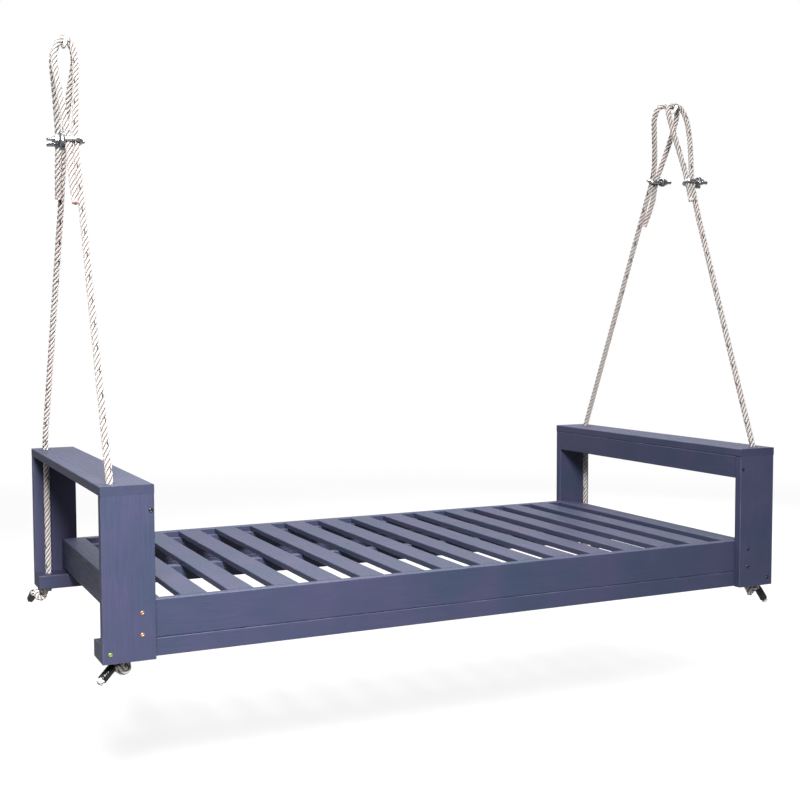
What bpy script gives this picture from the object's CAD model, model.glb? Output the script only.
import math

import bpy
import numpy as np
from mathutils import Matrix, Vector


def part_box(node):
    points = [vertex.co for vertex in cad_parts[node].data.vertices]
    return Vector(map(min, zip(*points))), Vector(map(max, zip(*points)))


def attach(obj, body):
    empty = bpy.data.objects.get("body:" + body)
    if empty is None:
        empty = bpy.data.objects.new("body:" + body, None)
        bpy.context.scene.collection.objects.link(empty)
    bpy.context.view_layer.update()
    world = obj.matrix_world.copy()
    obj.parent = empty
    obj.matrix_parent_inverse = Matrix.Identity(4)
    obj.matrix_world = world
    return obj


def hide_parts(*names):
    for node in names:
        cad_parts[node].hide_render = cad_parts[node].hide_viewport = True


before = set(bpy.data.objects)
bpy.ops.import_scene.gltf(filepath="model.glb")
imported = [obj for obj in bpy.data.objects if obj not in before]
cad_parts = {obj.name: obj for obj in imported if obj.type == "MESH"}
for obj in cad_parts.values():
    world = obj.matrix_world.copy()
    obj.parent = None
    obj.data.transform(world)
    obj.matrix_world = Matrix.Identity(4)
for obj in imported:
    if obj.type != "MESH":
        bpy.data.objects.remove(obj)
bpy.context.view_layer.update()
scene = bpy.context.scene
MM = 0.001
FULL_TURN = 2 * math.pi

# ---------------------------------------------------------------- camera

# Solved from the corners of the boards in the photo
CAMERA_AT = (-1.7440, -3.6380, -0.8317)
CAMERA_RIGHT = Vector((0.90181175, -0.43211979, -0.00283919))
CAMERA_DOWN = Vector((-0.02872775, -0.05339504, -0.99816015))
CAMERA_LENS = 54.333
CAMERA_SENSOR = 36.0
CAMERA_SHIFT = (-0.0006, 0.0005)
CAMERA_FAR = 60.0


def make_camera():
    data = bpy.data.cameras.new("camera")
    data.lens = CAMERA_LENS
    data.sensor_width = CAMERA_SENSOR
    data.clip_end = CAMERA_FAR
    data.shift_x, data.shift_y = CAMERA_SHIFT
    cam = bpy.data.objects.new("camera", data)
    scene.collection.objects.link(cam)
    right = CAMERA_RIGHT.normalized()
    up = (-CAMERA_DOWN).normalized()
    back = right.cross(up)
    turn = Matrix((right, up, back)).transposed().to_4x4()
    cam.matrix_world = Matrix.Translation(CAMERA_AT) @ turn
    scene.camera = cam


make_camera()

# ---------------------------------------------------------------- the ropes' routes

# The CAD part's own routes in millimetres, from the foot block up, over the hook and down to the free end
ROUTES = {
    "left_back": [
        (-1078, 494, -1713), (-1078, 494, -1292), (-1079.5, 492.5, -1237), (-1081.5, 472, -1180),
        (-1067.5, 193, -470), (-1065.5, 121.5, -271), (-1062, 92, -195), (-1057, 60, -122),
        (-1050, 30, -50), (-1055, 18, -18), (-1068, 12, 2), (-1083, 10.5, 9.3),
        (-1096, 11.5, 2), (-1105, 18, -14), (-1111, 32, -50), (-1104, 54, -108),
        (-1093, 84, -190), (-1084.5, 111.5, -271), (-1083, 133, -340), (-1080, 162, -440)],
    "left_front": [
        (-1078, -494, -1713), (-1078, -494, -1292), (-1078, -492.5, -1237), (-1078, -472, -1180),
        (-1079, -175, -424), (-1080, -130, -306), (-1072, -97, -219), (-1063, -62, -129),
        (-1058, -36, -66), (-1060, -20, -25), (-1068, -12, -2), (-1083, -10.5, 9.3),
        (-1101, -13, -5), (-1113, -23, -31), (-1118, -38, -70), (-1112, -68, -150),
        (-1104, -101, -234), (-1100, -130, -306), (-1100, -162, -383), (-1098, -208, -486)],
    "right_back": [
        (1078, 494, -1713), (1078, 494, -1292), (1078, 492.5, -1237), (1080, 472, -1180),
        (1106, 166, -420), (1112, 113, -282), (1106, 92, -228), (1091, 71, -174),
        (1069, 46, -110), (1056, 27, -60), (1062, 13, -30), (1086, 10.5, -21.5),
        (1112, 10.5, -20.7), (1138, 11, -24), (1151, 19, -47), (1153, 42, -103),
        (1142, 82, -204), (1132, 113, -282), (1138, 146, -364), (1126.5, 178, -448)],
    "right_front": [
        (1078, -494, -1713), (1078, -494, -1292), (1078, -492.5, -1237), (1079.5, -472, -1180),
        (1100, -172, -438), (1110, -124, -314), (1123, -101, -253), (1139, -77, -190),
        (1152, -51, -124), (1156, -30, -70), (1148, -14, -34), (1130, -10.5, -21.5),
        (1109, -10.5, -20.7), (1089, -12, -28), (1079, -25, -56), (1081, -48, -116),
        (1086, -80, -200), (1090, -104, -262), (1090, -124, -314), (1086, -150, -382)],
}
ROPE_D = 0.020
STRANDS = 4
LAY = 0.0688            # how far along the rope a strand goes once round

# ---------------------------------------------------------------- shader helpers


class Net:
    """Short calls for making and joining the nodes of one material."""

    MIX_A, MIX_B, MIX_RESULT = 6, 7, 2      # a Mix node's colour sockets

    def __init__(self, tree):
        self.tree = tree

    def node(self, kind, **settings):
        made = self.tree.nodes.new(kind)
        for key, value in settings.items():
            setattr(made, key, value)
        return made

    def join(self, value, socket):
        """Links an output to the socket, or sets the socket to a constant."""
        if isinstance(value, bpy.types.NodeSocket):
            self.tree.links.new(value, socket)
        else:
            socket.default_value = value

    def math(self, op, *values):
        made = self.node("ShaderNodeMath", operation=op)
        for value, socket in zip(values, made.inputs):
            self.join(value, socket)
        return made.outputs[0]

    def ramp(self, value, low, high, to_low=0.0, to_high=1.0):
        """Goes smoothly from to_low to to_high as value goes from low to high."""
        made = self.node("ShaderNodeMapRange", clamp=True, interpolation_type="SMOOTHSTEP")
        for number, entry in enumerate((value, low, high, to_low, to_high)):
            self.join(entry, made.inputs[number])
        return made.outputs[0]

    def mix(self, part, a, b):
        """Colour a, with this part of it turned into colour b."""
        made = self.node("ShaderNodeMix", data_type="RGBA")
        self.join(part, made.inputs[0])
        for value, number in ((a, self.MIX_A), (b, self.MIX_B)):
            self.join((*value, 1.0) if isinstance(value, tuple) else value, made.inputs[number])
        return made.outputs[self.MIX_RESULT]

    def noise(self, vector, scale, detail, rough, distortion=0.0):
        made = self.node("ShaderNodeTexNoise")
        self.join(vector, made.inputs["Vector"])
        made.inputs["Scale"].default_value = scale
        made.inputs["Detail"].default_value = detail
        made.inputs["Roughness"].default_value = rough
        made.inputs["Distortion"].default_value = distortion
        return made.outputs["Fac"]

    def place(self):
        """A point's place in the space of its own object."""
        return self.node("ShaderNodeTexCoord").outputs["Object"]

    def stretch(self, vector, scale):
        made = self.node("ShaderNodeMapping")
        self.join(vector, made.inputs["Vector"])
        made.inputs["Scale"].default_value = scale
        return made.outputs[0]

    def split(self, vector):
        made = self.node("ShaderNodeSeparateXYZ")
        self.join(vector, made.inputs[0])
        return made.outputs

    def weighed(self, *pairs):
        """The sum of some values, each times its weight."""
        total = None
        for value, weight in pairs:
            part = value if weight == 1.0 else self.math("MULTIPLY", value, weight)
            total = part if total is None else self.math("ADD", total, part)
        return total

    def bump(self, height, distance, strength):
        made = self.node("ShaderNodeBump")
        made.inputs["Strength"].default_value = strength
        made.inputs["Distance"].default_value = distance
        self.join(height, made.inputs["Height"])
        return made.outputs[0]


def material(name):
    mat = bpy.data.materials.new(name)
    mat.use_nodes = True
    return mat, Net(mat.node_tree), mat.node_tree.nodes["Principled BSDF"]


# ---------------------------------------------------------------- materials

# Each noise is its scale, detail, roughness and, for the grain's figure, distortion.
# Each relief is the bump's distance in metres and its strength.

PAINT = (0.0240, 0.0280, 0.0560)
PAINT_COOL = (0.0185, 0.0264, 0.0500)
PAINT_WARM = (0.0298, 0.0282, 0.0600)
PAINT_BRUSHED = (0.0355, 0.0395, 0.070)
PAINT_DEEP = (0.0125, 0.015, 0.031)
PAINT_WORN = (0.070, 0.079, 0.128)
PAINT_SPECULAR = 0.24
PAINT_ROUGH = (0.42, 0.56)
PAINT_RELIEF = (0.0005, 0.42)
EVENED_OUT = 0.25           # how much of the cool and warm clouds the plain tone covers
BRUSH_SHOWS = 0.13
RINGS_SHOW = 0.10
END_GRAIN_SHOWS = 0.30
EDGE_WEAR = (0.08, 0.50)    # how worn the boards' edges are, from the least to the most
GRAIN_SQUEEZE = 0.05
RING_WAVES = 60.0
FIGURE_NOISE = (34.0, 2.0, 0.5, 1.6)
FIBRE_NOISE = (420.0, 2.0, 0.6)
BRUSH_NOISE = (190.0, 3.0, 0.65)
CLOUD_NOISE = (5.0, 3.0, 0.55)
PATCH_NOISE = (14.0, 3.0, 0.6)


def paint_material(axis):
    """Brushed paint over planed boards whose grain runs along one axis of the frame."""
    mat, net, shader = material("paint_along_" + "xyz"[axis])
    coords = net.node("ShaderNodeTexCoord")
    place = coords.outputs["Object"]
    normal = net.split(coords.outputs["Normal"])
    along = [1.0, 1.0, 1.0]
    along[axis] = GRAIN_SQUEEZE
    grain_space = net.stretch(place, tuple(along))
    figure = net.noise(grain_space, *FIGURE_NOISE)
    rings = net.math("SINE", net.math("MULTIPLY", figure, RING_WAVES))
    fibres = net.noise(grain_space, *FIBRE_NOISE)
    brush = net.noise(grain_space, *BRUSH_NOISE)
    cloud = net.noise(place, *CLOUD_NOISE)
    patches = net.noise(place, *PATCH_NOISE)
    tones = net.mix(net.ramp(cloud, 0.34, 0.66), PAINT_COOL, PAINT_WARM)
    tones = net.mix(EVENED_OUT, tones, PAINT)
    tones = net.mix(net.ramp(brush, 0.30, 0.75, 0.0, BRUSH_SHOWS), tones, PAINT_BRUSHED)
    tones = net.mix(net.ramp(rings, 0.2, 1.0, 0.0, RINGS_SHOW), tones, PAINT_DEEP)
    # On a rounded edge the normal leaves all three axes
    straight = [net.math("ABSOLUTE", n) for n in normal[:3]]
    flat = net.math("MAXIMUM", net.math("MAXIMUM", straight[0], straight[1]), straight[2])
    edge = net.ramp(flat, 0.995, 0.90)
    wear = net.math("MULTIPLY", edge, net.ramp(patches, 0.42, 0.72, *EDGE_WEAR))
    tones = net.mix(wear, tones, PAINT_WORN)
    end = net.ramp(straight[axis], 0.90, 0.97)
    tones = net.mix(net.math("MULTIPLY", end, END_GRAIN_SHOWS), tones, PAINT_DEEP)
    net.join(tones, shader.inputs["Base Color"])
    net.join(net.ramp(brush, 0.25, 0.75, *PAINT_ROUGH), shader.inputs["Roughness"])
    shader.inputs["Specular IOR Level"].default_value = PAINT_SPECULAR
    relief = net.weighed((rings, 0.16), (fibres, 0.35), (brush, 0.55))
    net.join(net.bump(relief, *PAINT_RELIEF), shader.inputs["Normal"])
    return mat


ROPE_WHITE = (0.43, 0.409, 0.389)
ROPE_PINKISH = (0.45, 0.391, 0.376)
ROPE_SPECK = (0.28, 0.25, 0.23)
ROPE_YARN_GAP = (0.19, 0.165, 0.15)
ROPE_CREASE = (0.060, 0.049, 0.045)
ROPE_TRACER = (0.012, 0.008, 0.009)
ROPE_ROUGH = 0.82
ROPE_SPECULAR = 0.25
ROPE_SHEEN = 0.12
ROPE_RELIEF = (0.0006, 0.7)
YARNS_ROUND = 30
THREADS_ROUND = 96
YARN_WANDER = 0.018
# The tracer's marks in each lay: how much later in the lay, and half the mark's width in lays
TRACER_MARKS = ((0.0, 0.046), (0.56, 0.034))
TRACER_REACH = (0.15, 0.11)     # in lays from its middle, where a mark is gone and where it is full
TRACER_CORE = 0.6               # the part of a mark's width that is fully dark
TIP_DYED = (0.020, 0.008)       # metres from the rope's end, where the tip's dye is gone and where it is full
TIP_FRAY = 0.010
WANDER_NOISE = (120.0, 2.0, 0.6)
TINT_NOISE = (9.0, 2.0, 0.5)
SPECK_NOISE = (700.0, 2.0, 0.7)
TIP_NOISE = (160.0, 2.0, 0.6)


def rope_material(drift, phase, dyed, clean):
    """Laid rope. Its UV maps hold turns round the section and lays along it, and metres to its end.

    drift and phase place the tracer's marks, dyed is the tip's colour and clean scales the yarn's.
    """
    mat, net, shader = material("rope_%02d" % round(100 * phase))
    u, v, _ = net.split(net.node("ShaderNodeUVMap", uv_map="rope_turns").outputs[0])
    to_tail = net.split(net.node("ShaderNodeUVMap", uv_map="rope_ends").outputs[0])[0]
    place = net.place()
    # From -0.5 to 0.5 across each strand
    side = net.math("SUBTRACT", net.math("FRACT", net.math("MULTIPLY", u, float(STRANDS))), 0.5)
    crease = net.math("ABSOLUTE", side)
    wander = net.noise(place, *WANDER_NOISE)
    turns = net.math("MULTIPLY_ADD", wander, YARN_WANDER, net.math("ADD", u, v))
    yarns = net.math("SINE", net.math("MULTIPLY", turns, FULL_TURN * YARNS_ROUND))
    threads = net.math("SINE", net.math("MULTIPLY", turns, FULL_TURN * THREADS_ROUND))
    tint = net.noise(place, *TINT_NOISE)
    speck = net.noise(place, *SPECK_NOISE)
    white, pinkish = [tuple(clean * c for c in tone) for tone in (ROPE_WHITE, ROPE_PINKISH)]
    tone = net.mix(net.ramp(tint, 0.40, 0.66), white, pinkish)
    tone = net.mix(net.ramp(speck, 0.35, 0.75, 0.0, 0.35), tone, ROPE_SPECK)
    tone = net.mix(net.ramp(yarns, -1.0, -0.1, 0.40, 0.0), tone, ROPE_YARN_GAP)
    tone = net.mix(net.ramp(crease, 0.19, 0.47, 0.0, 0.95), tone, ROPE_CREASE)
    # One strand carries a dark tracer yarn, which comes to the surface twice in each lay
    period = 1.0 + drift
    first_strand = net.math("LESS_THAN", u, 1.0 / STRANDS)
    for later, width in TRACER_MARKS:
        step = net.math("FRACT", net.math("ADD", net.math("DIVIDE", v, period), phase + later))
        gone = net.math("MULTIPLY", net.math("SUBTRACT", step, 0.5), period)
        line = net.math("ABSOLUTE", net.math("ADD", net.math("MULTIPLY", side, 1.0 / STRANDS), gone))
        near = net.ramp(line, width, width * TRACER_CORE)
        reach = net.ramp(net.math("ABSOLUTE", gone), *TRACER_REACH)
        fleck = net.math("MULTIPLY", net.math("MULTIPLY", near, reach), first_strand)
        fleck = net.math("MULTIPLY", fleck, net.ramp(speck, 0.18, 0.40, 0.6, 1.0))
        tone = net.mix(fleck, tone, ROPE_TRACER)
    tip = net.ramp(net.math("MULTIPLY_ADD", wander, TIP_FRAY, to_tail), *TIP_DYED)
    patchy = net.ramp(net.noise(place, *TIP_NOISE), 0.35, 0.62, 0.45, 0.90)
    tone = net.mix(net.math("MULTIPLY", tip, patchy), tone, dyed)
    net.join(tone, shader.inputs["Base Color"])
    shader.inputs["Roughness"].default_value = ROPE_ROUGH
    shader.inputs["Specular IOR Level"].default_value = ROPE_SPECULAR
    shader.inputs["Sheen Weight"].default_value = ROPE_SHEEN
    relief = net.weighed((yarns, 0.5), (threads, 0.16), (speck, 0.5))
    net.join(net.bump(relief, *ROPE_RELIEF), shader.inputs["Normal"])
    return mat


METAL_FINE_NOISE = (900.0, 3.0, 0.6)
METAL_CLOUD_NOISE = (110.0, 3.0, 0.65)
METAL_RELIEF = (0.0002, 0.5)
METAL_PITS = 0.6            # the fine pits' tone, as a part of the dull one


def metal_material(name, tone, dull, rough, metallic, spots=0.35):
    """A metal or enamel of one tone, stained by spots of a duller one.

    rough is the least and the most roughness, and spots how strong the stains are.
    """
    mat, net, shader = material(name)
    place = net.place()
    fine = net.noise(place, *METAL_FINE_NOISE)
    cloud = net.noise(place, *METAL_CLOUD_NOISE)
    colour = net.mix(net.ramp(cloud, 0.50, 0.72, 0.0, spots), tone, dull)
    pits = tuple(METAL_PITS * c for c in dull)
    colour = net.mix(net.ramp(fine, 0.35, 0.8, 0.0, 0.25), colour, pits)
    net.join(colour, shader.inputs["Base Color"])
    net.join(net.ramp(cloud, 0.3, 0.7, *rough), shader.inputs["Roughness"])
    shader.inputs["Metallic"].default_value = metallic
    relief = net.weighed((fine, 0.5), (cloud, 1.0))
    net.join(net.bump(relief, *METAL_RELIEF), shader.inputs["Normal"])
    return mat


TAPE_DARK = (0.0035, 0.0035, 0.0045)
TAPE_PALE = (0.011, 0.0105, 0.012)
TAPE_ROUGH = (0.24, 0.40)
TAPE_SPECULAR = 0.30
TAPE_RELIEF = (0.0003, 0.5)
TAPE_FINE_NOISE = (800.0, 3.0, 0.6)
TAPE_CLOUD_NOISE = (70.0, 3.0, 0.6)


def tape_material():
    mat, net, shader = material("black_tape")
    place = net.place()
    fine = net.noise(place, *TAPE_FINE_NOISE)
    cloud = net.noise(place, *TAPE_CLOUD_NOISE)
    colour = net.mix(net.ramp(cloud, 0.4, 0.75), TAPE_DARK, TAPE_PALE)
    net.join(colour, shader.inputs["Base Color"])
    net.join(net.ramp(cloud, 0.3, 0.7, *TAPE_ROUGH), shader.inputs["Roughness"])
    shader.inputs["Specular IOR Level"].default_value = TAPE_SPECULAR
    relief = net.weighed((fine, 0.4), (cloud, 1.0))
    net.join(net.bump(relief, *TAPE_RELIEF), shader.inputs["Normal"])
    return mat


PAINT_ALONG = [paint_material(axis) for axis in range(3)]
RED_TIP = (0.46, 0.23, 0.23)
PALE_TIP = (0.50, 0.44, 0.42)
WHITE_TIP = (0.36, 0.355, 0.35)
ROPE_LOOKS = {
    "left_back": rope_material(-0.05, 0.18, PALE_TIP, 1.15),
    "left_front": rope_material(-0.01, 0.42, RED_TIP, 0.80),
    "right_back": rope_material(-0.03, 0.66, PALE_TIP, 0.98),
    "right_front": rope_material(0.01, 0.87, PALE_TIP, 0.82),
    "knot": rope_material(0.0, 0.95, WHITE_TIP, 1.5),
}
ZINC = metal_material("zinc", (0.42, 0.425, 0.44), (0.10, 0.10, 0.105), (0.18, 0.36), 1.0, 0.75)
ZINC_CAST = metal_material(
    "zinc_cast", (0.30, 0.305, 0.32), (0.08, 0.08, 0.085), (0.26, 0.46), 1.0, 0.85)
HOOK_ENAMEL = metal_material("hook_enamel", (0.84, 0.84, 0.84), (0.78, 0.78, 0.78), (0.30, 0.45), 0.0)
BRASS = metal_material("yellow_screw", (0.33, 0.175, 0.10), (0.12, 0.06, 0.04), (0.32, 0.50), 0.8)
GREEN_SCREW = metal_material(
    "olive_screw", (0.15, 0.185, 0.055), (0.05, 0.065, 0.025), (0.25, 0.45), 0.45)
DARK_SCREW = metal_material("dark_screw", (0.006, 0.006, 0.009), (0.014, 0.014, 0.018), (0.12, 0.24), 0.0)
PAINTED_SCREW = metal_material(
    "painted_screw", (0.010, 0.012, 0.026), (0.03, 0.03, 0.045), (0.4, 0.55), 0.0)
TAPE = tape_material()

# ---------------------------------------------------------------- the boards

# The CAD nodes that are shown as they are, by the axis that their grain runs along
GRAIN_ALONG = (
    ("front_rail", "back_rail", "ledger", "centre_beam", "foot_block"),
    ("slat_", "arm_", "apron_", "end_rail"),
    ("post_",),
)


def put_on(obj, mat):
    if not obj.data.materials:
        obj.data.materials.append(mat)
    for place in obj.material_slots:
        place.link = "OBJECT"
        place.material = mat


for node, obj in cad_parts.items():
    for axis, starts in enumerate(GRAIN_ALONG):
        if node.startswith(starts) and not node.endswith("_screws"):
            put_on(obj, PAINT_ALONG[axis])
put_on(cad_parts["slat_screws"], PAINTED_SCREW)
for node in ("hook_left", "hook_right"):
    put_on(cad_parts[node], HOOK_ENAMEL)

# ---------------------------------------------------------------- lines and meshes


def lengths_to(line):
    """The length of a line up to each of its points."""
    return np.concatenate([[0], np.cumsum(np.linalg.norm(np.diff(line, axis=0), axis=1))])


def points_at(line, gone, wanted):
    """The points of a line at the wanted lengths along it."""
    return np.stack([np.interp(wanted, gone, line[:, k]) for k in range(3)], axis=1)


def headings(line):
    """The direction of a line at each of its points."""
    ahead = np.gradient(line, axis=0)
    return ahead / np.linalg.norm(ahead, axis=1)[:, None]


SPAN_MAX = 0.072            # longer spans are cut up, so that they stay straight
SPAN_STEPS = 24


def even_path(points, step):
    """A smooth line through points, in even steps: a centripetal Catmull-Rom spline."""
    pts = [np.array(points[0], float)]
    for a, b in zip(points[:-1], points[1:]):
        a, b = np.array(a, float), np.array(b, float)
        parts = max(1, int(np.linalg.norm(b - a) // SPAN_MAX))
        pts += [a + (b - a) * k / parts for k in range(1, parts + 1)]
    pts = np.array(pts)
    pts = np.vstack([2 * pts[0] - pts[1], pts, 2 * pts[-1] - pts[-2]])
    out = []
    for i in range(1, len(pts) - 2):
        p0, p1, p2, p3 = pts[i - 1:i + 3]
        t = [0.0]
        for a, b in ((p0, p1), (p1, p2), (p2, p3)):
            t.append(t[-1] + max(1e-6, np.linalg.norm(b - a)) ** 0.5)
        for w in np.linspace(t[1], t[2], SPAN_STEPS, endpoint=False):
            a1 = (t[1] - w) / (t[1] - t[0]) * p0 + (w - t[0]) / (t[1] - t[0]) * p1
            a2 = (t[2] - w) / (t[2] - t[1]) * p1 + (w - t[1]) / (t[2] - t[1]) * p2
            a3 = (t[3] - w) / (t[3] - t[2]) * p2 + (w - t[2]) / (t[3] - t[2]) * p3
            b1 = (t[2] - w) / (t[2] - t[0]) * a1 + (w - t[0]) / (t[2] - t[0]) * a2
            b2 = (t[3] - w) / (t[3] - t[1]) * a2 + (w - t[1]) / (t[3] - t[1]) * a3
            out.append((t[2] - w) / (t[2] - t[1]) * b1 + (w - t[1]) / (t[2] - t[1]) * b2)
    out.append(pts[-2])
    line = np.array(out)
    gone = lengths_to(line)
    count = max(2, int(round(gone[-1] / step)) + 1)
    return points_at(line, gone, np.linspace(0, gone[-1], count))


def soften(line, times):
    line = line.copy()
    for _ in range(times):
        line[1:-1] = 0.25 * line[:-2] + 0.5 * line[1:-1] + 0.25 * line[2:]
    return line


def carried_frames(line):
    """The line's direction and two directions across it, carried along it without twisting."""
    ahead = headings(line)
    first = np.cross(ahead[0], (1.0, 0.0, 0.0) if abs(ahead[0][0]) < 0.8 else (0.0, 1.0, 0.0))
    sides = [first / np.linalg.norm(first)]
    for d in ahead[1:]:
        s = sides[-1] - d * np.dot(sides[-1], d)
        sides.append(s / np.linalg.norm(s))
    sides = np.array(sides)
    return ahead, sides, np.cross(ahead, sides)


def mesh_object(name, verts, faces, mat, smooth=True):
    mesh = bpy.data.meshes.new(name)
    mesh.from_pydata([tuple(v) for v in verts], [], [tuple(f) for f in faces])
    mesh.materials.append(mat)
    if smooth:
        mesh.polygons.foreach_set("use_smooth", [True] * len(mesh.polygons))
    mesh.update()
    obj = bpy.data.objects.new(name, mesh)
    scene.collection.objects.link(obj)
    return obj


def wall(count, n):
    """The faces between count rings of n points each."""
    return [(i * n + k, i * n + (k + 1) % n, (i + 1) * n + (k + 1) % n, (i + 1) * n + k)
            for i in range(count - 1) for k in range(n)]


def lofted(rings):
    """Vertices and faces of a closed skin over rings that all have the same number of points."""
    n = len(rings[0])
    faces = wall(len(rings), n)
    faces.append(tuple(range(n - 1, -1, -1)))
    faces.append(tuple((len(rings) - 1) * n + k for k in range(n)))
    return [p for ring in rings for p in ring], faces


def joined(parts):
    verts, faces = [], []
    for more_verts, more_faces in parts:
        shift = len(verts)
        verts += list(more_verts)
        faces += [tuple(shift + k for k in face) for face in more_faces]
    return verts, faces


def placed(verts, space):
    return [space @ Vector(tuple(v)) for v in verts]


# ---------------------------------------------------------------- ropes

STRAND_OUT = 0.27           # a strand's middle from the rope's, and its radius, in rope diameters
STRAND_R = 0.23
LOBE_POINTS = 9
END_DOME = 0.0015
ROPE_STEP = 0.0023
ROPE_SOFTEN = 6


def rope_mesh(name, line, mat, turn=0.0, lays=0.0):
    """A laid rope along line: lobes for the strands, which turn right-handed with the lay.

    turn is where the first strand starts, in radians, and lays how much lay is already gone.
    """
    ahead, side, up = carried_frames(line)
    gone = lengths_to(line)
    rings = len(line)
    n = STRANDS * LOBE_POINTS
    psi = np.arange(n) / n
    alpha = (np.mod(psi * STRANDS, 1.0) - 0.5) * FULL_TURN / STRANDS
    out = ROPE_D * STRAND_OUT
    lobe = out * np.cos(alpha) + np.sqrt((ROPE_D * STRAND_R) ** 2 - (out * np.sin(alpha)) ** 2)
    lay_at = gone / LAY + lays
    angle = FULL_TURN * (psi[None, :] + lay_at[:, None]) + turn
    verts = line[:, None, :] + lobe[None, :, None] * (
        np.cos(angle)[..., None] * side[:, None, :] + np.sin(angle)[..., None] * up[:, None, :])
    verts = list(verts.reshape(-1, 3))
    verts += [line[0] - ahead[0] * END_DOME, line[-1] + ahead[-1] * END_DOME]
    first, last = rings * n, rings * n + 1
    faces = wall(rings, n)
    quads = len(faces)
    for k in range(n):
        m = (k + 1) % n
        faces.append((first, m, k))
        faces.append((last, (rings - 1) * n + k, (rings - 1) * n + m))
    obj = mesh_object(name, verts, faces, mat)
    mesh = obj.data
    corner_at = np.empty(len(mesh.loops), dtype=np.int32)
    mesh.loops.foreach_get("vertex_index", corner_at)
    ring = np.minimum(corner_at // n, rings - 1)
    ring[corner_at == first] = 0
    ring[corner_at == last] = rings - 1
    spoke = np.where(corner_at < rings * n, corner_at % n, 0).astype(float)
    # The last column of faces ends at a full turn, so that nothing wraps back
    for quad in range(n - 1, quads, n):
        spoke[4 * quad + 1:4 * quad + 3] = n
    turns = np.stack([spoke / n, lay_at[ring]], axis=1)
    ends = np.stack([gone[-1] - gone[ring], gone[ring]], axis=1)
    for layer, values in (("rope_turns", turns), ("rope_ends", ends)):
        mesh.uv_layers.new(name=layer).data.foreach_set("uv", values.ravel())
    return obj


for corner, route in ROUTES.items():
    line = soften(even_path([tuple(MM * c for c in p) for p in route], ROPE_STEP), ROPE_SOFTEN)
    obj = rope_mesh("rope_laid_" + corner, line, ROPE_LOOKS[corner])
    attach(obj, "swing")
    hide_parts("rope_" + corner)

# ---------------------------------------------------------------- knots and taped ends

KNOT_Z = -1.716
KNOTS = {
    # corner: the knot's centre and the way its tail points
    "left_front": ((-1.055, -0.494, KNOT_Z), (-0.757, -0.42, -0.50)),
    "left_back": ((-1.105, 0.494, KNOT_Z), (-0.14, 0.83, -0.54)),
    "right_front": ((1.078, -0.494, KNOT_Z), (0.643, 0.0, -0.766)),
    "right_back": ((1.078, 0.494, KNOT_Z), (0.707, 0.0, -0.707)),
}
# A tight overhand in millimetres: x out along the deck, y to the side that the tail leans, z up
OVERHAND = (
    (0.0, 0.0, 22), (-2.0, 1.0, 12), (-9.0, 6.0, 2), (-13.0, 8.0, -8), (-7.0, 4.0, -16.5),
    (4.0, -3.0, -15.5), (12.0, -8.0, -7.0), (11.0, -9.0, 5.0), (1.0, -9.5, 11.0),
    (-10.0, -7.0, 8.0), (-13.5, 0.0, -1.0), (-6.0, 7.5, -8.0), (5.0, 9.0, -2.0), (14.0, 6.0, 0.5))
KNOT_SWELL = 1.12
KNOT_TURN = 0.6
KNOT_LAYS = 0.3
KNOT_STEP = 0.0018
KNOT_SOFTEN = 8
INTO_BLOCK = 0.006          # how far the knot's rope reaches up into the foot block
TAIL_L = 0.067
TAIL_AT = (0.014, 0.030, 0.048, TAIL_L)
TAIL_BOW = (0.004, 0, 0.003)
TIP_L = 0.011               # bare rope past the tape
SLEEVE_D = 0.0245
SLEEVE_L = 0.046
SLEEVE_RINGS = 64
SLEEVE_POINTS = 40
TAPE_TURN = 0.0095          # along the rope, for each turn of tape
TAPE_STEP = 0.00045
TAPE_IN = 0.0003
TAPE_WRINKLE = 0.00035
WRINKLES_ROUND = 4
WRINKLE_TWIST = 40
TAPE_RIM = 0.0008           # how far the first and last rings draw in


def overhand(corner, centre, tail, top):
    """The knot's own path in metres, from the foot block to the tail's end."""
    flip = -1.0 if corner.startswith("left") else 1.0
    back = 1.0 if tail[1] > 0.5 else -1.0
    middle = np.array(centre)
    towards = np.array(tail) / np.linalg.norm(tail)
    pts = [middle + KNOT_SWELL * MM * np.array((flip * x, back * y, z)) for x, y, z in OVERHAND]
    pts[0] = np.array(top)
    begin = pts[-1]
    bow = np.array((flip * TAIL_BOW[0], TAIL_BOW[1], TAIL_BOW[2]))
    return pts + [begin + towards * far + bow * (1 - far / TAIL_L) for far in TAIL_AT]


def tape_sleeve(name, rope_line):
    """Tape wound round a rope's end in overlapping turns, so that its surface steps along it."""
    gone = lengths_to(rope_line)
    start, end = gone[-1] - TIP_L - SLEEVE_L, gone[-1] - TIP_L
    ring_at = np.linspace(start, end, SLEEVE_RINGS)
    middle = points_at(rope_line, gone, ring_at)
    _, side, up = carried_frames(middle)
    rings = []
    for i, p in enumerate(middle):
        along = ring_at[i] - start
        rim = TAPE_RIM if i in (0, SLEEVE_RINGS - 1) else 0.0
        ring = []
        for k in range(SLEEVE_POINTS):
            th = FULL_TURN * k / SLEEVE_POINTS
            wind = (along / TAPE_TURN + k / SLEEVE_POINTS) % 1.0
            wrinkle = math.sin(WRINKLES_ROUND * th + WRINKLE_TWIST * along / SLEEVE_L)
            r = SLEEVE_D / 2 + TAPE_STEP * wind - TAPE_IN + TAPE_WRINKLE * wrinkle - rim
            ring.append(p + r * (math.cos(th) * side[i] + math.sin(th) * up[i]))
        rings.append(ring)
    return mesh_object(name, *lofted(rings), TAPE)


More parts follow.
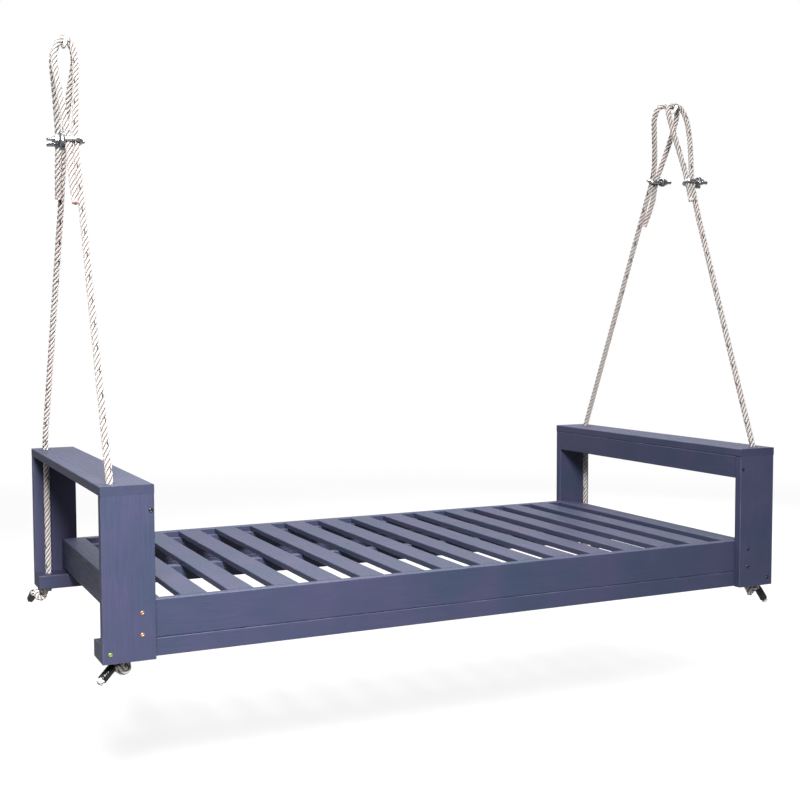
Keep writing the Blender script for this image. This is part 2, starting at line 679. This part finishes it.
for corner, (centre, tail) in KNOTS.items():
    top = np.array([MM * c for c in ROUTES[corner][0]])
    top[2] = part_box("foot_block_" + corner)[0][2] + INTO_BLOCK
    line = soften(even_path(overhand(corner, centre, tail, top), KNOT_STEP), KNOT_SOFTEN)
    knot = rope_mesh("knot_laid_" + corner, line, ROPE_LOOKS["knot"], KNOT_TURN, KNOT_LAYS)
    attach(knot, "swing")
    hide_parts("knot_" + corner)
    sleeve = tape_sleeve("tape_" + corner, line)
    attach(sleeve, "swing")
    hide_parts("rope_end_sleeves")

# ---------------------------------------------------------------- rope clips, in millimetres

CLIP_LEAN = math.radians(21.0)      # the ropes' own lean from upright at the clips
CLIP_PLACES = {
    # corner: the clip's middle, the side its bow points to, its turn about the rope in degrees
    "left_back": ((-1075, 116.5, -271), -1, 27),
    "left_front": ((-1089, -130, -306), 1, -8),
    "right_back": ((1121, 113, -282), -1, 6),
    "right_front": ((1100, -124, -314), -1, 10),
}
GRIP = 20.0                 # from the clip's middle to the saddle's face
BAR_R = 6.0
BAR_POINTS = 20
LEG_Y = 17.0
LEG_END = -70.0
LEG_CHAMFER = (1.2, 0.8)    # how long, and how much it draws in for each millimetre
BOW_X = 7.0
BOW_STEPS = 30
PLAIN_STEPS = 8
THREAD_PITCH = 1.75
THREAD_DEPTH = 0.55
THREAD_FROM = -30.0
THREAD_STEP = 0.42
SADDLE_T = 16.0
SADDLE_HALF_L = 15.0
SADDLE_HALF_W = 28.0
SADDLE_POINTS = 41          # across each face
SADDLE_SLICES = 17          # along the rope
SADDLE_BOSS_FALL = 0.16
SADDLE_BACK_ROUND = 1.8
SADDLE_BACK_IN = 0.6
SADDLE_END_T, SADDLE_MORE_T = 0.62, 0.38    # parts of its thickness: at the ends, and what the middle adds
SADDLE_END_W, SADDLE_MORE_W = 0.80, 0.20    # the same for its width
GROOVE_DEEP = 6.5
GROOVE_HALF_W = 10.5
WAIST_DEEP = 0.30
WAIST_HALF_W = 7.0
NUT_FLAT_R = 9.5
NUT_H = 12.0
NUT_POINTS = 72
NUT_FACE_R = NUT_FLAT_R * 0.98    # the round face that the chamfer leaves
NUT_CHAMFER = 1.3
NUT_TOP_GAP = 0.2
NUT_TURNS = (0.35, 1.25)    # how far each nut happens to be turned, in radians


def clip_space(corner):
    """The clip's own frame, in millimetres: +X towards the bow and Z along the rope."""
    middle, side, turn = CLIP_PLACES[corner]
    lean = math.copysign(CLIP_LEAN, middle[1])
    about = math.radians(turn) + (math.pi if side < 0 else 0.0)
    place = Matrix.Translation([MM * c for c in middle])
    return (place @ Matrix.Rotation(lean, 4, "X") @ Matrix.Rotation(about, 4, "Z")
            @ Matrix.Scale(MM, 4))


def u_bolt_shape():
    """One round bar, bent round the ropes, with a rolled thread on both legs."""
    threaded = np.arange(LEG_END, THREAD_FROM, THREAD_STEP)
    plain = np.linspace(THREAD_FROM, BOW_X, PLAIN_STEPS)
    bend = np.radians(np.linspace(-90.0, 90.0, BOW_STEPS))[1:-1]
    leg = [(x, -LEG_Y, 0.0) for x in np.concatenate([threaded, plain])]
    arc = [(BOW_X + LEG_Y * math.cos(a), LEG_Y * math.sin(a), 0.0) for a in bend]
    line = np.array(leg + arc + [(x, LEG_Y, z) for x, _, z in reversed(leg)])
    up = np.array((0.0, 0.0, 1.0))
    rings = []
    for p, d in zip(line, headings(line)):
        across = np.array((-d[1], d[0], 0.0))
        ring = []
        for k in range(BAR_POINTS):
            th = FULL_TURN * k / BAR_POINTS
            r = BAR_R
            if p[0] < THREAD_FROM:
                r -= THREAD_DEPTH * (0.5 - 0.5 * math.cos(FULL_TURN * (p[0] / THREAD_PITCH) - th))
                r -= max(0.0, LEG_CHAMFER[0] - (p[0] - LEG_END)) * LEG_CHAMFER[1]
            ring.append(p + r * (math.cos(th) * across + math.sin(th) * up))
        rings.append(ring)
    return lofted(rings)


def saddle_shape():
    """A cast saddle: two bosses round the legs and a groove across for the rope."""
    front, back = [], []
    for v in np.linspace(-1.0, 1.0, SADDLE_POINTS):
        wide = v * SADDLE_HALF_W
        boss = 1.0 - SADDLE_BOSS_FALL * abs(v) ** 6 * SADDLE_T / 2
        groove = GROOVE_DEEP * max(0.0, 1.0 - (wide / GROOVE_HALF_W) ** 2) ** 0.5
        front.append((-GRIP + boss - groove, wide))
        behind = -GRIP - SADDLE_T + SADDLE_BACK_ROUND * abs(v) ** 5
        back.append((behind, v * (SADDLE_HALF_W - SADDLE_BACK_IN)))
    middle = -GRIP - SADDLE_T / 2
    rings = []
    for z in np.linspace(-1.0, 1.0, SADDLE_SLICES):
        # The section draws in towards both ends, and the ends are hollow between the bosses
        swell = (1.0 - abs(z) ** 4.5) ** 0.5 if abs(z) < 1.0 else 0.0
        ring = []
        for x, wide in front + back[::-1]:
            waist = 1.0 - WAIST_DEEP * math.exp(-(wide / WAIST_HALF_W) ** 2) * abs(z)
            ring.append(np.array((middle + (x - middle) * (SADDLE_END_T + SADDLE_MORE_T * swell),
                                  wide * (SADDLE_END_W + SADDLE_MORE_W * swell),
                                  z * SADDLE_HALF_L * waist)))
        rings.append(ring)
    return lofted(rings)


def nut_shape(leg_y, turn):
    """A hexagon nut with its corners chamfered off, around one leg."""
    low = -GRIP - SADDLE_T - NUT_H
    rings = []
    for x, full in ((low, False), (low + NUT_CHAMFER, True),
                    (low + NUT_H - NUT_CHAMFER, True), (low + NUT_H - NUT_TOP_GAP, False)):
        ring = []
        for k in range(NUT_POINTS):
            th = FULL_TURN * k / NUT_POINTS
            hexagon = NUT_FLAT_R / math.cos((th + math.pi / 6) % (math.pi / 3) - math.pi / 6)
            r = hexagon if full else min(hexagon, NUT_FACE_R)
            ring.append(np.array((x, leg_y + r * math.cos(th + turn), r * math.sin(th + turn))))
        rings.append(ring)
    return lofted(rings)


def both_nuts():
    return joined([nut_shape(y, turn) for y, turn in zip((-LEG_Y, LEG_Y), NUT_TURNS)])


CLIP_PARTS = (
    ("clip_bow_", "clip_u_bolts", u_bolt_shape(), ZINC),
    ("clip_saddle_", "clip_saddles", saddle_shape(), ZINC_CAST),
    ("clip_nuts_", "clip_nuts", both_nuts(), ZINC),
)
CLIPS = {corner: [] for corner in ROUTES}
for corner in ROUTES:
    space = clip_space(corner)
    for name, node, (verts, faces), mat in CLIP_PARTS:
        flat_sided = node == "clip_nuts"
        piece = mesh_object(name + corner, placed(verts, space), faces, mat, smooth=not flat_sided)
        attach(piece, "swing")
        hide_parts(node)
        CLIPS[corner].append(piece)

# ---------------------------------------------------------------- screws in the posts, in millimetres

SCREW_R = 6.2
SCREW_H = 2.3
HEAD_POINTS = 27
HEAD_ROUND = 3.2
HEAD_TURNS = (0.4, 1.7, 0.9)    # radians: to start with, for each next screw and for the end
RECESS_HALF_W = 0.75
RECESS_HALF_L = 2.7
RECESS_DEEP = 1.3
RECESS_FADE = 3.4
POST_SCREWS = {
    # distance in from the deck's end and height above the posts' bottoms
    "top": (130.5, 393), "rail_high": (104, 126), "rail_low": (104, 68), "foot": (20, 24.5)}
# The posts' outer faces and bottoms, from the CAD part
HALF_L = 1116.0
HALF_D = 554.0
GROUND = -1697.0


def screw_head(turn):
    """A pan head with a cross recess, facing +Z."""
    n = HEAD_POINTS
    c, s = math.cos(turn), math.sin(turn)
    verts = []
    for i in range(n):
        for j in range(n):
            # A square net, drawn in to a round one
            u, v = 2 * i / (n - 1) - 1, 2 * j / (n - 1) - 1
            x, y = u * math.sqrt(1 - v * v / 2), v * math.sqrt(1 - u * u / 2)
            z = SCREW_H * max(0.0, 1.0 - math.hypot(x, y) ** HEAD_ROUND) ** 0.5
            thin, far = sorted((abs(x * SCREW_R), abs(y * SCREW_R)))
            if thin < RECESS_HALF_W and far < RECESS_HALF_L:
                z -= RECESS_DEEP * (1.0 - far / RECESS_FADE)
            verts.append(Vector((SCREW_R * (x * c - y * s), SCREW_R * (x * s + y * c), z)))
    faces = [(i * n + j, (i + 1) * n + j, (i + 1) * n + j + 1, i * n + j + 1)
             for i in range(n - 1) for j in range(n - 1)]
    return verts, faces


def screw_look(side, which):
    """The colour that a screw has in the photo: the left end's lower ones differ."""
    if side < 0 and which == "foot":
        return "olive"
    if side < 0 and which.startswith("rail"):
        return "yellow"
    return "dark"


HEADS = {"dark": [], "yellow": [], "olive": []}
for side in (-1, 1):
    for face in (-1, 1):
        for number, (which, (inward, high)) in enumerate(POST_SCREWS.items()):
            at = Vector((side * (HALF_L - inward), face * HALF_D, GROUND + high)) * MM
            outward = Matrix.Rotation(-face * math.pi / 2, 4, "X")
            space = Matrix.Translation(at) @ outward @ Matrix.Scale(MM, 4)
            turn = HEAD_TURNS[0] + HEAD_TURNS[1] * number + HEAD_TURNS[2] * side
            verts, faces = screw_head(turn)
            HEADS[screw_look(side, which)].append((placed(verts, space), faces))
for look, mat in (("dark", DARK_SCREW), ("yellow", BRASS), ("olive", GREEN_SCREW)):
    piece = mesh_object("post_screws_" + look, *joined(HEADS[look]), mat)
    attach(piece, "swing")
    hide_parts("post_screws")

# ---------------------------------------------------------------- floor and light

FLOOR_Z = -2.12
FLOOR_HALF = 14.0
FLOOR_TONE = (0.15, 0.15, 0.15)
FLOOR_MOTTLE = 0.97
FLOOR_GLOW = 0.72           # how bright the floor is by itself, near the swing
FLOOR_FADE = (2.5, 7.5)     # metres out, where the floor starts to turn white and where it has
FLOOR_ROUGH = 0.9
FLOOR_NOISE = (1.2, 2.0, 0.5)
BOUNCE = 0.18               # the part of that glow which lights the swing
WHITE = (1.0, 1.0, 1.0, 1.0)
AHEAD = (0.432, 0.902)      # the way the camera looks, over the floor
WORLD_DIM = 0.27            # the light from behind the camera, and from the backdrop
WORLD_BACK = 0.72
WORLD_TURN = (0.10, 0.75)   # how far round to AHEAD it starts to change, and where it has
LAMPS = (
    # name, place, what it aims at, width in metres, spread in degrees, watts, shows in reflections
    ("key", (-1.75, -4.1, 1.7), (-1.6, -0.5, -1.5), 1.5, 118.0, 480.0, True),
    ("top", (0.6, 1.2, 2.4), (0.2, 0.0, -1.5), 3.0, 180.0, 370.0, True),
    ("fill", (3.8, 3.2, 0.2), (0.0, 0.0, -1.4), 2.5, 180.0, 200.0, False),
)


def seen_directly(net):
    """1 for what the camera sees for itself, 0 for light on its way to something else."""
    return net.node("ShaderNodeLightPath").outputs["Is Camera Ray"]


def floor_material():
    """A pale floor that brightens into the backdrop with distance, so that no horizon shows."""
    mat, net, shader = material("pale_floor")
    place = net.place()
    x, y, _ = net.split(place)
    far = net.math("SQRT", net.math("ADD", net.math("MULTIPLY", x, x), net.math("MULTIPLY", y, y)))
    fade = net.ramp(far, *FLOOR_FADE)
    cloud = net.noise(place, *FLOOR_NOISE)
    mottle = tuple(FLOOR_MOTTLE * c for c in FLOOR_TONE)
    tone = net.mix(net.ramp(cloud, 0.3, 0.7, 0.0, 0.3), FLOOR_TONE, mottle)
    net.join(net.mix(fade, tone, (0.0, 0.0, 0.0)), shader.inputs["Base Color"])
    shader.inputs["Emission Color"].default_value = WHITE
    glow = net.math("ADD", net.math("MULTIPLY", fade, 1.0 - FLOOR_GLOW), FLOOR_GLOW)
    counts = net.math("MULTIPLY_ADD", seen_directly(net), 1.0 - BOUNCE, BOUNCE)
    net.join(net.math("MULTIPLY", glow, counts), shader.inputs["Emission Strength"])
    shader.inputs["Roughness"].default_value = FLOOR_ROUGH
    shader.inputs["Specular IOR Level"].default_value = 0.0
    return mat


def make_world():
    """A white backdrop. It lights the swing less, and more from behind it than from the front."""
    world = bpy.data.worlds.new("studio")
    world.use_nodes = True
    net = Net(world.node_tree)
    sky = world.node_tree.nodes["Background"]
    x, y, _ = net.split(net.node("ShaderNodeTexCoord").outputs["Generated"])
    towards = net.weighed((x, AHEAD[0]), (y, AHEAD[1]))
    lit = net.ramp(towards, *WORLD_TURN, WORLD_DIM, WORLD_BACK)
    net.join(net.math("MAXIMUM", lit, seen_directly(net)), sky.inputs["Strength"])
    sky.inputs["Color"].default_value = WHITE
    scene.world = world


def make_lamp(name, place, aim, wide, spread, watts, reflected):
    data = bpy.data.lights.new(name, "AREA")
    data.shape = "SQUARE"
    data.size = wide
    data.energy = watts
    data.spread = math.radians(spread)
    lamp = bpy.data.objects.new(name, data)
    lamp.location = place
    lamp.rotation_euler = (Vector(aim) - Vector(place)).to_track_quat("-Z", "Y").to_euler()
    lamp.visible_glossy = reflected
    scene.collection.objects.link(lamp)


floor_corners = [(FLOOR_HALF * x, FLOOR_HALF * y, FLOOR_Z)
                 for x, y in ((-1, -1), (1, -1), (1, 1), (-1, 1))]
floor = mesh_object("floor", floor_corners, [(0, 1, 2, 3)], floor_material(), smooth=False)
make_world()
for lamp in LAMPS:
    make_lamp(*lamp)
scene.view_settings.view_transform = "Standard"
scene.view_settings.look = "None"
